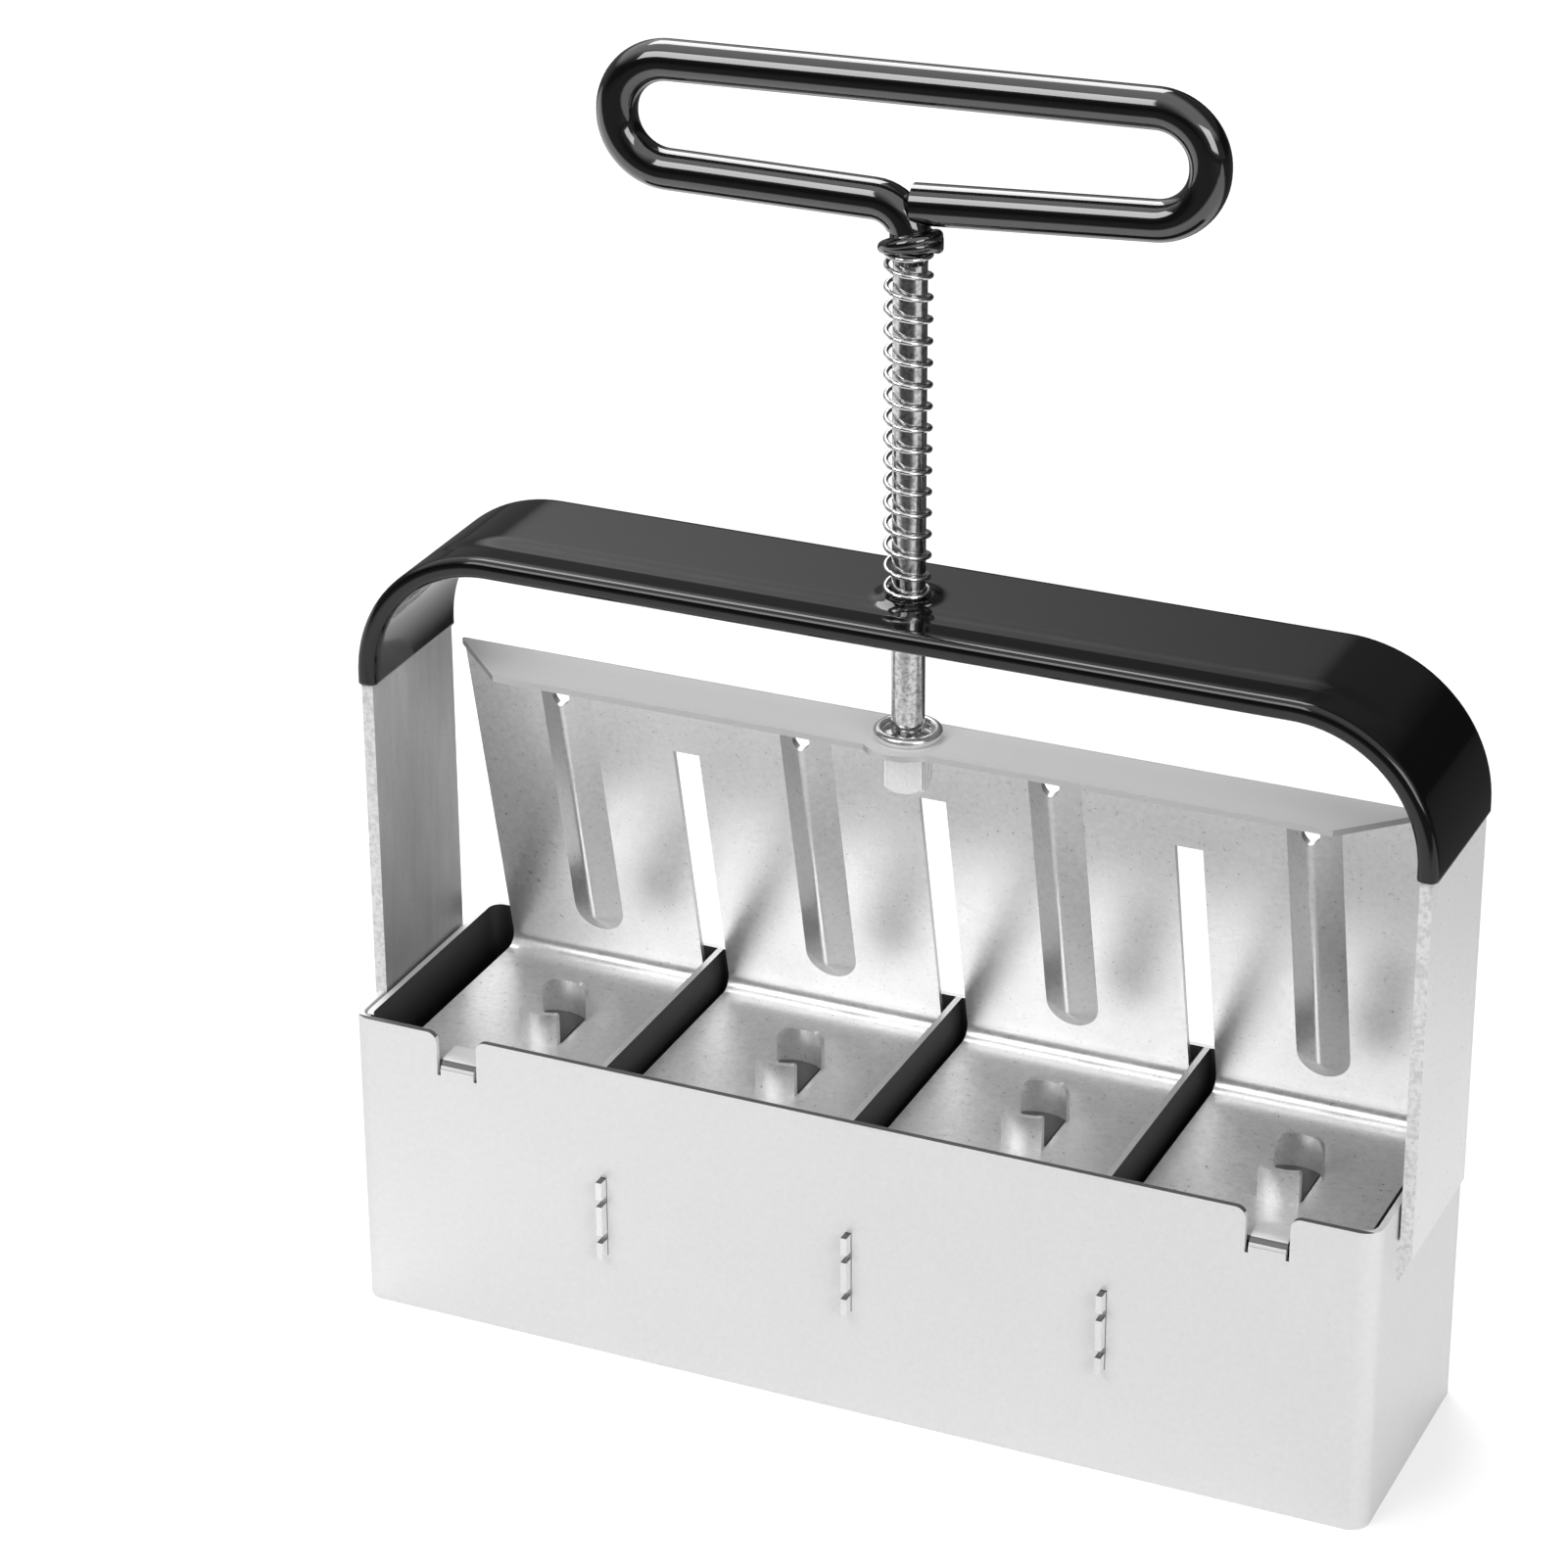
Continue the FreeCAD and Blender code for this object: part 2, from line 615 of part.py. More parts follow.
def ejector_plate():
    """The whole ejector: flange, ribbed plate and four pads with pin sockets."""
    body = ejector_sheet_body()
    lobe = cylinder_z(2 * flange_lobe_radius, flange_under, flange_top)
    lobe = lobe.cut(box(-flange_lobe_radius, flange_lobe_radius, plate_top_y - ejector_sheet,
                        plate_top_y + flange_lobe_radius, flange_under, flange_top))
    for end, side in ((ejector_left, -1), (ejector_right, 1)):
        body = body.cut(flange_corner_cut(end, side))
    body = body.fuse(lobe)
    for x in divider_places:
        body = body.cut(box(x - slot_width / 2, x + slot_width / 2, pad_front_y - clear,
                            inner_half_y, 0, slot_top))
    for x in press_places:
        outer, hollow = rib_bodies(x)
        body = body.fuse(outer).cut(hollow)
        middle = x + socket_shift_x
        body = body.cut(socket_window(middle, 0, pad_top - ejector_sheet - clear,
                                      ejector_sheet + 2 * clear))
        body = body.fuse(socket_tab(middle, -1, socket_front_width, socket_front_height,
                                    socket_front_round))
        body = body.fuse(socket_tab(middle, 1, socket_rear_width, socket_rear_height,
                                    socket_rear_round))
    hole = cylinder_z(thread_diameter + 2 * flange_hole_play, flange_under - clear,
                      flange_top + clear)
    return body.cut(hole).removeSplitter()


def seed_pin(x):
    """Push-in pin: shank in the socket, flange under the pad, round-nosed dibble."""
    middle = x + socket_shift_x
    under = pad_top - ejector_sheet
    shank = socket_window(middle, pin_play, under, ejector_sheet + pin_shank_above)
    flange = rounded_block(middle, socket_middle_y, pin_flange_size, pin_flange_size,
                           under - pin_flange_height, pin_flange_height, pin_flange_round)
    low = under - pin_flange_height - pin_length
    dibble = cylinder_z(pin_diameter, low, under - pin_flange_height, middle, socket_middle_y)
    nose = [e for e in dibble.Edges if e.CenterOfMass.z < low + touch]
    dibble = dibble.makeFillet(pin_nose_round, nose)
    return shank.fuse(flange).fuse(dibble).removeSplitter()


# ---------------------------------------------------------------- fasteners
def push_on_washer():
    """Push-on washer: full-round rim, teeth rising inward to the rod."""
    low = flange_top
    rim_radius = washer_height / 2
    rim_middle = washer_diameter / 2 - rim_radius
    inner = rim_middle - rim_radius
    bore = thread_diameter / 2
    rim = Part.makeTorus(rim_middle, rim_radius, Vector(0, 0, low + rim_radius))
    tooth_low = low + washer_tooth_rise
    teeth = turned([(bore, tooth_low), (rim_middle, low), (rim_middle, low + washer_tooth_sheet),
                    (bore, tooth_low + washer_tooth_sheet)])
    for i in range(washer_teeth):
        gap = box(bore, inner, -washer_tooth_gap / 2, washer_tooth_gap / 2,
                  low, low + washer_height)
        gap.rotate(Vector(0, 0, 0), Vector(0, 0, 1), 360 * i / washer_teeth)
        teeth = teeth.cut(gap)
    rod = cylinder_z(rod_diameter, low, low + washer_height)
    return rim.fuse(teeth).cut(rod).removeSplitter()


def ejector_nut():
    """Tall square nut under the flange, its lower corners turned off."""
    low = flange_under - nut_height
    block = rounded_block(0, 0, nut_size, nut_size, low, nut_height, nut_edge_round)
    block.rotate(Vector(0, 0, 0), Vector(0, 0, 1), nut_turn)
    turned_off = turned([(0, low), (nut_face_radius, low),
                         (nut_size, low + nut_size - nut_face_radius),
                         (nut_size, flange_under), (0, flange_under)])
    return block.common(turned_off).cut(cylinder_z(thread_diameter, low, flange_under))


# ---------------------------------------------------------------- export
def all_parts():
    """Every sub-part by its node name."""
    parts = {
        "case_shell": case_shell(),
        "handle_strap": handle_strap(),
        "strap_grip": strap_grip(),
        "strap_weld_left": strap_weld(-1),
        "strap_weld_right": strap_weld(1),
        "return_spring": return_spring(),
        "plunger_rod": plunger_rod(),
        "loop_grip": loop_grip(),
        "spring_collar": spring_collar(),
        "push_on_washer": push_on_washer(),
        "ejector_nut": ejector_nut(),
        "ejector_plate": ejector_plate(),
    }
    for number, x in enumerate(divider_places, 1):
        parts[f"divider_{number}"] = divider(x)
    for number, x in enumerate(press_places, 1):
        parts[f"seed_pin_{number}"] = seed_pin(x)
    return parts


os.makedirs("parts", exist_ok=True)
for name, shape in all_parts().items():
    limits = shape.BoundBox
    print(f"{name:18s} solids {len(shape.Solids)} valid {shape.isValid()} "
          f"volume {shape.Volume:9.1f} z {limits.ZMin:7.2f} to {limits.ZMax:7.2f}")
    shape.exportStep(f"parts/{name}.step")
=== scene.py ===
# %% [markdown]
# # A hand soil blocker
# The tool is pressed into wet potting soil, and a sprung plunger pushes the finished blocks out again.
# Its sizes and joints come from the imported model, which is loaded first and stays as it is. This lesson
# gives every piece its finish, makes the spring, the dipped grip and the collar finer than the plain
# solids, and sets up the studio. All lengths are in metres and +Z is up.

# %% Load the frame
import math

import bpy
from mathutils import Matrix, Vector


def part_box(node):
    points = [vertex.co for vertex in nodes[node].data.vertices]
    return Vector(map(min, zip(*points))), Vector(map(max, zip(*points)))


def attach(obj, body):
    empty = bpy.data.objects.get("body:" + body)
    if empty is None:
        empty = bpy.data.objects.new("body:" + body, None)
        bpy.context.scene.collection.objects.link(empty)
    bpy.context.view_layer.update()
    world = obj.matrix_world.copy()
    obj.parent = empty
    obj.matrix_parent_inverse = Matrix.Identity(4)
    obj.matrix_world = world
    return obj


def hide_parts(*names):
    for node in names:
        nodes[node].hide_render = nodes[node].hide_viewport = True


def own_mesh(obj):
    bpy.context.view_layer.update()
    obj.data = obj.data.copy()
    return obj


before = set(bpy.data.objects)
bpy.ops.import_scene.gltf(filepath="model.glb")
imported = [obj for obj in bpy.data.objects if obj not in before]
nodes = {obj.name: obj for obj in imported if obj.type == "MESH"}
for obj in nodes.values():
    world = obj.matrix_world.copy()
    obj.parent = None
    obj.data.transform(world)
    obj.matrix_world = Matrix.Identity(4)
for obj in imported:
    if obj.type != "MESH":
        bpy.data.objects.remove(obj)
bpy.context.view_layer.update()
MM = 0.001
scene = bpy.context.scene
scene.view_settings.view_transform = "Standard"

# %% [markdown]
# ## Camera
# A long lens from well above and a little to the right keeps the case's edges almost parallel. The
# camera's axes are worked out from three plain angles, because a rotation built from named
# directions is easier to check than a list of Euler values.

# %% Camera
CAMERA_PLACE = Vector((0.3149, -0.7498, 0.5095))
CAMERA_TURN = math.radians(24.393)      # about Z, towards +X
CAMERA_DIP = math.radians(25.562)       # below the horizon
CAMERA_ROLL = math.radians(-0.378)
CAMERA_LENS = 111.88                    # on a 36 mm wide sensor


def camera_matrix():
    """The camera looks along local -Z, with local X to the right and Y up."""
    turn, dip, roll = CAMERA_TURN, CAMERA_DIP, CAMERA_ROLL
    forward = Vector((-math.sin(turn) * math.cos(dip), math.cos(turn) * math.cos(dip), -math.sin(dip)))
    level_right = Vector((math.cos(turn), math.sin(turn), 0))
    level_up = level_right.cross(forward)
    right = math.cos(roll) * level_right + math.sin(roll) * level_up
    up = -math.sin(roll) * level_right + math.cos(roll) * level_up
    axes = Matrix((right, up, -forward)).transposed()
    return Matrix.Translation(CAMERA_PLACE) @ axes.to_4x4()


camera_data = bpy.data.cameras.new("camera")
camera_data.sensor_width = 36
camera_data.lens = CAMERA_LENS
camera_data.clip_end = 20
camera = bpy.data.objects.new("camera", camera_data)
scene.collection.objects.link(camera)
camera.matrix_world = camera_matrix()
scene.camera = camera
print("camera distance:", round(CAMERA_PLACE.length, 3), "m")

# %% [markdown]
# ## Helpers for materials
# Each material is a small node tree. These helpers keep the trees short to write: one makes a
# material with its shader, and one adds a node and fills in its inputs or links them.


# %% Material helpers
def add_node(tree, kind, inputs=None, **settings):
    """A new node with its settings and the given input values or links."""
    node = tree.nodes.new(kind)
    for name, value in settings.items():
        setattr(node, name, value)
    for key, value in (inputs or {}).items():
        if isinstance(value, bpy.types.NodeSocket):
            tree.links.new(value, node.inputs[key])
        else:
            node.inputs[key].default_value = value
    return node


def new_material(name, **shader_values):
    """A node material; shader_values go straight on the Principled BSDF's own sockets."""
    material = bpy.data.materials.new(name)
    material.use_nodes = True
    shader = material.node_tree.nodes["Principled BSDF"]
    for key, value in shader_values.items():
        shader.inputs[key.replace("_", " ")].default_value = value
    return material, material.node_tree, shader


def dress(material, *names):
    """Puts a material in the first slot of the named CAD nodes."""
    for name in names:
        slots = nodes[name].data.materials
        if len(slots):
            slots[0] = material
        else:
            slots.append(material)
    print(material.name, "->", ", ".join(names))


def grey(value):
    """A neutral colour."""
    return (value, value, value, 1)


# %% Place, direction and arithmetic helpers
def place_axes(tree):
    """The piece's own X, Y and Z, each as a socket."""
    place = add_node(tree, "ShaderNodeTexCoord").outputs["Object"]
    return add_node(tree, "ShaderNodeSeparateXYZ", {0: place}).outputs


def facing_axes(tree):
    """The surface direction's X, Y and Z, each as a socket."""
    facing = add_node(tree, "ShaderNodeNewGeometry").outputs["Normal"]
    return add_node(tree, "ShaderNodeSeparateXYZ", {0: facing}).outputs


def ramp(tree, value, start, end, low=0.0, high=1.0):
    """A value that goes from low to high while the given one goes from start to end."""
    node = add_node(tree, "ShaderNodeMapRange", {"Value": value, "From Min": start, "From Max": end,
                                                 "To Min": low, "To Max": high})
    return node.outputs["Result"]


def maths(tree, operation, first, second=0.0):
    """One sum, product or comparison of two values or sockets."""
    return add_node(tree, "ShaderNodeMath", {0: first, 1: second}, operation=operation).outputs[0]


def mix_colour(tree, factor, first, second):
    """The first colour where the factor is 0 and the second where it is 1."""
    return add_node(tree, "ShaderNodeMix", {"Factor": factor, 6: first, 7: second},
                    data_type="RGBA").outputs[2]


# %% [markdown]
# ## Effects that several finishes share
# Galvanised sheet is never one flat grey: the zinc has a fine speckle, and rolling and handling
# leave faint cloudy patches. Both are noise at two very different scales, so one node group makes
# them together and each metal sets its own strength.


# %% Zinc grain group
CLOUD_SCALE = 38.0
PIT_SCALE = 1500.0
PIT_RANGE = (0.70, 0.76)                # noise below the first makes no pit, above the second a full one


def make_group(name, inputs, outputs):
    """An empty node group with float inputs (name, default) and outputs (name, type)."""
    group = bpy.data.node_groups.new(name, "ShaderNodeTree")
    for label, default in inputs:
        socket = group.interface.new_socket(label, in_out="INPUT", socket_type="NodeSocketFloat")
        socket.default_value = default
    for label, kind in outputs:
        group.interface.new_socket(label, in_out="OUTPUT", socket_type=kind)
    return group, group.nodes.new("NodeGroupInput"), group.nodes.new("NodeGroupOutput")


def zinc_grain_group():
    """Speckle, clouds and sparse pits of zinc as a shade near 1, and the speckle by itself."""
    group, given, result = make_group(
        "zinc_grain",
        [("Speckle", 0.06), ("Clouds", 0.08), ("Pits", 0.3), ("Speckle Scale", 900.0)],
        [("Shade", "NodeSocketFloat"), ("Grain", "NodeSocketFloat")])
    place = add_node(group, "ShaderNodeTexCoord").outputs["Object"]
    speckle = add_node(group, "ShaderNodeTexNoise",
                       {"Vector": place, "Scale": given.outputs["Speckle Scale"], "Detail": 4.0,
                        "Roughness": 0.65})
    clouds = add_node(group, "ShaderNodeTexNoise",
                      {"Vector": place, "Scale": CLOUD_SCALE, "Detail": 3.0, "Roughness": 0.5})
    shade = 1.0
    for noise, amount in ((speckle, "Speckle"), (clouds, "Clouds")):
        centred = maths(group, "SUBTRACT", noise.outputs["Fac"], 0.5)
        shade = maths(group, "ADD", maths(group, "MULTIPLY", centred, given.outputs[amount]), shade)
    spots = add_node(group, "ShaderNodeTexNoise", {"Vector": place, "Scale": PIT_SCALE, "Detail": 1.0})
    pits = ramp(group, spots.outputs["Fac"], *PIT_RANGE, 0.0, given.outputs["Pits"])
    group.links.new(maths(group, "SUBTRACT", shade, pits), result.inputs["Shade"])
    group.links.new(speckle.outputs["Fac"], result.inputs["Grain"])
    return group


zinc_grain = zinc_grain_group()
print("group:", zinc_grain.name, [s.name for s in zinc_grain.interface.items_tree])

# %% [markdown]
# ## Galvanised sheet
# The case, the dividers, the strap and the ejector are all bent from zinc-coated steel, yet they don't
# shine alike: some of it is still a mirror, and some is dulled by a pale bloom. A plain metal would
# show only the room and a plain paint would look like plastic, so one number, the mirror, mixes the
# two. The speckle from the group feeds the colour, the roughness and a faint relief together.


# %% Use the grain in a metal
NOISE_RANGE = (0.3, 0.7)                # nearly all values of a noise lie between these
ROUGHNESS_SPREAD = (0.05, 0.07)         # how far the grain takes the roughness below and above


def shade_colour(tree, colour, shade):
    """The colour multiplied by a shade value or socket."""
    mix = add_node(tree, "ShaderNodeMix", data_type="RGBA", blend_type="MULTIPLY")
    mix.inputs["Factor"].default_value = 1.0
    for socket, value in ((mix.inputs[6], colour), (mix.inputs[7], shade)):
        if isinstance(value, bpy.types.NodeSocket):
            tree.links.new(value, socket)
        else:
            socket.default_value = value
    return mix.outputs[2]


def zinc_sheet(name, tone, roughness, mirror, speckle=0.4, clouds=0.15, pits=0.3, relief=0.02):
    """Satin galvanised sheet; mirror is the share of bare metal beside the pale zinc bloom."""
    material, tree, shader = new_material(name, Metallic=mirror)
    grain = add_node(tree, "ShaderNodeGroup", node_tree=zinc_grain)
    grain.inputs["Speckle"].default_value = speckle
    grain.inputs["Clouds"].default_value = clouds
    grain.inputs["Pits"].default_value = pits
    colour = shade_colour(tree, grey(tone), grain.outputs["Shade"])
    tree.links.new(colour, shader.inputs["Base Color"])
    below, above = ROUGHNESS_SPREAD
    rough = ramp(tree, grain.outputs["Grain"], *NOISE_RANGE, roughness - below, roughness + above)
    tree.links.new(rough, shader.inputs["Roughness"])
    bump = add_node(tree, "ShaderNodeBump",
                    {"Height": grain.outputs["Grain"], "Strength": relief, "Distance": 0.2 * MM})
    tree.links.new(bump.outputs["Normal"], shader.inputs["Normal"])
    return material, tree, shader, colour

# %% [markdown]
# ## The ejector's bright sheet
# The ejector is a bright folded sheet. The top of its flange carries painted light, a pale tone that
# stands in for the light falling on it, with a darker line along the sheared front edge. The solid has
# one material for all its faces, so height and direction tell the flange apart inside the material, and
# the solid needs no cutting up.

# %% Ejector sheet
FLANGE_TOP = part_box("ejector_plate")[1].z
FLANGE_PAINTED_LIGHT = (1.3 * MM, 1.1 * MM)     # the painted light on the flange's top starts between these depths below it
EJECTOR_TONE = 0.80
EJECTOR_ROUGHNESS = 0.32
EJECTOR_MIRROR = 0.72
# painted light: the pale tone given to the flange's top
PAINTED_LIGHT_TONE = 0.95
SHEARED_TONE = 0.62
FACES_UP = (0.4, 0.9)                   # from sloping to level, as the Z of the surface direction


def ejector_sheet_metal():
    """Bright plate and pads; the flange's top is painted pale as painted light and its sheared edge is
    darker.
    """
    material, tree, shader, colour = zinc_sheet("ejector_galvanised", EJECTOR_TONE, EJECTOR_ROUGHNESS,
                                                EJECTOR_MIRROR)
    low, high = FLANGE_PAINTED_LIGHT
    flange = ramp(tree, place_axes(tree)["Z"], FLANGE_TOP - low, FLANGE_TOP - high)
    upward = ramp(tree, facing_axes(tree)["Z"], *FACES_UP)
    pale = maths(tree, "MULTIPLY", flange, upward)
    edge = maths(tree, "SUBTRACT", flange, pale)
    # painted light: the flange's top is made pale in place of the light falling on it
    painted_top = mix_colour(tree, pale, colour, grey(PAINTED_LIGHT_TONE))
    tree.links.new(mix_colour(tree, edge, painted_top, grey(SHEARED_TONE)), shader.inputs["Base Color"])
    tree.links.new(ramp(tree, pale, 0.0, 1.0, EJECTOR_MIRROR, 0.0), shader.inputs["Metallic"])
    return material


dress(ejector_sheet_metal(), "ejector_plate")

# %% [markdown]
# ## The strap's two faces
# The strap is pale outside like the case. The faces of its legs that look at each other carry painted
# shade, darker towards the foot, over rolling streaks along the leg. The side that a leg stands on,
# times the direction of a face, is negative only on those faces, which gives the mask for the painted
# shade without any image. Noise drawn out along Z makes the streaks, and fine noise dots the sheared
# edges.

# %% Strap sheet
STRAP_TONE = 0.96
STRAP_ROUGHNESS = 0.42
STRAP_MIRROR_OUTSIDE, STRAP_MIRROR_INSIDE = 0.10, 0.75
PAINTED_SHADE_FOOT, PAINTED_SHADE_TOP = 0.070, 0.125      # painted shade: the inner faces darken from the upper height to the lower
PAINTED_SHADE_TONES = (0.46, 0.90)
STREAK_SCALE, STREAK_STRETCH = 130.0, 0.2
STREAK_TONES = (0.70, 0.90)
FACES_FRONT = (-0.5, -0.9)              # as the Y of the surface direction
EDGE_TONE = 0.9
DOT_SCALE = 1100.0
DOT_RANGE = (0.35, 0.6)                 # noise below the first is a full dot, above the second none
DOT_TONES = (0.75, 0.97)


def leg_inside_group():
    """1 on the faces of the legs that look at each other."""
    group, _, result = make_group("leg_inside", [], [("Mask", "NodeSocketFloat")])
    side = maths(group, "SIGN", place_axes(group)["X"])
    inward = maths(group, "MULTIPLY", side, facing_axes(group)["X"])
    group.links.new(maths(group, "LESS_THAN", inward, -0.5), result.inputs["Mask"])
    return group


def strap_sheet_metal():
    """Pale outside like the case; inner faces with painted shade over rolling streaks, sheared edges
    dotted.
    """
    material, tree, shader, colour = zinc_sheet("strap_galvanised", STRAP_TONE, STRAP_ROUGHNESS,
                                                STRAP_MIRROR_OUTSIDE, speckle=0.15, clouds=0.1)
    mask = add_node(tree, "ShaderNodeGroup", node_tree=leg_inside_group()).outputs["Mask"]
    place = add_node(tree, "ShaderNodeTexCoord").outputs["Object"]
    drawn_out = add_node(tree, "ShaderNodeMapping", {"Vector": place, "Scale": (1, 1, STREAK_STRETCH)})
    streaks = add_node(tree, "ShaderNodeTexNoise",
                       {"Vector": drawn_out.outputs["Vector"], "Scale": STREAK_SCALE, "Detail": 5.0,
                        "Roughness": 0.7})
    streaked = ramp(tree, streaks.outputs["Fac"], *NOISE_RANGE, *STREAK_TONES)
    # painted shade on the legs' inner faces, darker towards the foot
    painted_shade = ramp(tree, place_axes(tree)["Z"], PAINTED_SHADE_FOOT, PAINTED_SHADE_TOP, *PAINTED_SHADE_TONES)
    inside = shade_colour(tree, colour, maths(tree, "MULTIPLY", streaked, painted_shade))
    faces = mix_colour(tree, mask, colour, inside)
    front_edge = ramp(tree, facing_axes(tree)["Y"], *FACES_FRONT)
    dots = add_node(tree, "ShaderNodeTexNoise", {"Vector": place, "Scale": DOT_SCALE, "Detail": 2.0})
    dotted = shade_colour(tree, grey(EDGE_TONE),
                          ramp(tree, dots.outputs["Fac"], *DOT_RANGE, *DOT_TONES))
    tree.links.new(mix_colour(tree, front_edge, faces, dotted), shader.inputs["Base Color"])
    mirror = ramp(tree, mask, 0.0, 1.0, STRAP_MIRROR_OUTSIDE, STRAP_MIRROR_INSIDE)
    tree.links.new(mirror, shader.inputs["Metallic"])
    return material


dress(strap_sheet_metal(), "handle_strap", "strap_weld_left", "strap_weld_right")

# %% [markdown]
# ## Case with painted shade on its inner faces
# The case and its dividers are pale outside, while the faces inside the cells are painted nearly black
# as painted shade, darkest deep in the cells. The pale sheet and this painted shade meet at the sheet's
# cut edge, so a mask from place and direction splits one material: dark where a wall face lies inside
# the inner box, pale on the rims and outside.

# %% Inner face mask
CASE_SHEET = 1.2 * MM
SHEET_SHARE = 0.97                      # the painted shade starts just inside the sheet's outer face
case_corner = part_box("case_shell")[1]
CELL_BOX_X = case_corner.x - SHEET_SHARE * CASE_SHEET
CELL_BOX_Y = case_corner.y - SHEET_SHARE * CASE_SHEET
print("painted shade within, in mm:", [round(v / MM, 2) for v in (CELL_BOX_X, CELL_BOX_Y)])


def inner_face_group():
    """1 on upright faces inside the case, 0 on rims and outside."""
    group, _, result = make_group("inner_face", [], [("Mask", "NodeSocketFloat")])
    place, facing = place_axes(group), facing_axes(group)
    mask = 1.0
    for value, limit in ((place["X"], CELL_BOX_X), (place["Y"], CELL_BOX_Y), (facing["Z"], 0.5)):
        inside = maths(group, "LESS_THAN", maths(group, "ABSOLUTE", value), limit)
        mask = maths(group, "MULTIPLY", mask, inside)
    group.links.new(mask, result.inputs["Mask"])
    return group


inner_face = inner_face_group()


# %% Case material
PAINTED_SHADE_FADE = 12 * MM                    # the painted shade on the inner faces lightens over this depth towards the rim
PAINTED_SHADE_DEEP, PAINTED_SHADE_AT_RIM = 0.008, 0.035
INNER_ROUGHNESS = 0.65
# painted shade: a dark line along the front wall's rim, beside the pads
RIM_SHADE_TONE = 0.12


def front_rim_shade_mask(tree):
    """1 on the top of the front wall's rim, where a line of painted shade lies beside the pads."""
    in_front = maths(tree, "LESS_THAN", place_axes(tree)["Y"], -CELL_BOX_Y)
    upward = maths(tree, "GREATER_THAN", facing_axes(tree)["Z"], 0.5)
    return maths(tree, "MULTIPLY", in_front, upward)


def grey_socket(tree, value):
    """A neutral colour from a value's socket."""
    colour = add_node(tree, "ShaderNodeCombineColor", {channel: value for channel in range(3)})
    return colour.outputs["Color"]


def case_sheet(name, tone, roughness, mirror):
    """Pale satin sheet whose inner faces are painted dark and matt as painted shade."""
    material, tree, shader, colour = zinc_sheet(name, tone, roughness, mirror, speckle=0.12, clouds=0.04,
                                                pits=0.05, relief=0.0)
    mask = add_node(tree, "ShaderNodeGroup", node_tree=inner_face).outputs["Mask"]
    # painted shade: near black on the inner faces, lighter towards the rim
    depth = ramp(tree, place_axes(tree)["Z"], case_corner.z - PAINTED_SHADE_FADE, case_corner.z,
                 PAINTED_SHADE_DEEP, PAINTED_SHADE_AT_RIM)
    faces = mix_colour(tree, mask, colour, grey_socket(tree, depth))
    # painted shade along the front wall's rim
    rim_shaded = mix_colour(tree, front_rim_shade_mask(tree), faces, grey(RIM_SHADE_TONE))
    tree.links.new(rim_shaded, shader.inputs["Base Color"])
    tree.links.new(ramp(tree, mask, 0.0, 1.0, mirror, 0.0), shader.inputs["Metallic"])
    tree.links.new(ramp(tree, mask, 0.0, 1.0, roughness, INNER_ROUGHNESS), shader.inputs["Roughness"])
    return material


dress(case_sheet("case_galvanised", tone=0.86, roughness=0.45, mirror=0.33), "case_shell")
dress(case_sheet("divider_galvanised", tone=0.92, roughness=0.25, mirror=0.80),
      "divider_1", "divider_2", "divider_3")

# %% [markdown]
# ## Dipped vinyl
# The strap and the loop are dipped in black plastisol, which cures to a deep gloss with a barely
# visible orange peel. A near-black base with low roughness gives the sharp highlights, and a very
# weak noise relief makes them waver a little, as on the real skin.

# %% Vinyl
VINYL_TONE = 0.004
VINYL_ROUGHNESS = (0.05, 0.11)
FILM_ROUGHNESS = 0.06                   # of the glossy film on top
PEEL_SCALE = 90.0
PEEL_HEIGHT = 0.3 * MM


def vinyl(name, peel, gloss):
    """Black gloss plastisol; peel is the strength of its waviness, gloss the weight of its top film."""
    material, tree, shader = new_material(name, Base_Color=grey(VINYL_TONE), IOR=1.5,
                                          Coat_Weight=gloss, Coat_Roughness=FILM_ROUGHNESS)
    place = add_node(tree, "ShaderNodeTexCoord").outputs["Object"]
    waves = add_node(tree, "ShaderNodeTexNoise", {"Vector": place, "Scale": PEEL_SCALE, "Detail": 2.0})
    rough = ramp(tree, waves.outputs["Fac"], 0.0, 1.0, *VINYL_ROUGHNESS)
    tree.links.new(rough, shader.inputs["Roughness"])
    bump = add_node(tree, "ShaderNodeBump", {"Height": waves.outputs["Fac"], "Strength": peel,
                                             "Distance": PEEL_HEIGHT})
    tree.links.new(bump.outputs["Normal"], shader.inputs["Normal"])
    return material


strap_vinyl = vinyl("strap_plastisol", peel=0.06, gloss=0.05)
loop_vinyl = vinyl("loop_plastisol", peel=0.10, gloss=0.8)
loop_vinyl.node_tree.nodes["Principled BSDF"].inputs["Specular IOR Level"].default_value = 1.0
dress(loop_vinyl, "loop_grip")

# %% [markdown]
# ## The grip on the strap
# Dipping leaves more than a coat of even thickness. The vinyl gathers in a bead along both edges of
# the strip, with a shallow groove beside the front one, climbs a little round the spring's seat and
# ends in a soft lip on each leg. The skin is a loft: one outline is carried along the strap's middle
# line, and each point of it is moved along the outline's own two directions.

# %% Loft helper
def mesh_object(name, points, faces, material, slot_name):
    """A smooth-shaded piece with one material; the slot_name argument is not used."""
    mesh = bpy.data.meshes.new(name)
    mesh.from_pydata(points, [], faces)
    mesh.validate()
    mesh.materials.append(material)
    for polygon in mesh.polygons:
        polygon.use_smooth = True
    piece = bpy.data.objects.new(name, mesh)
    scene.collection.objects.link(piece)
    print(name, "points:", len(mesh.vertices), "faces:", len(mesh.polygons))
    return piece


def loft(rings):
    """Points and faces of a closed skin through rings of equal length, with flat ends."""
    count = len(rings[0])
    points = [tuple(point) for ring in rings for point in ring]
    faces = []
    for row in range(len(rings) - 1):
        for k in range(count):
            following = (k + 1) % count
            faces.append((row * count + k, row * count + following,
                          (row + 1) * count + following, (row + 1) * count + k))
    faces.append(tuple(reversed(range(count))))
    faces.append(tuple(range((len(rings) - 1) * count, len(rings) * count)))
    return points, faces


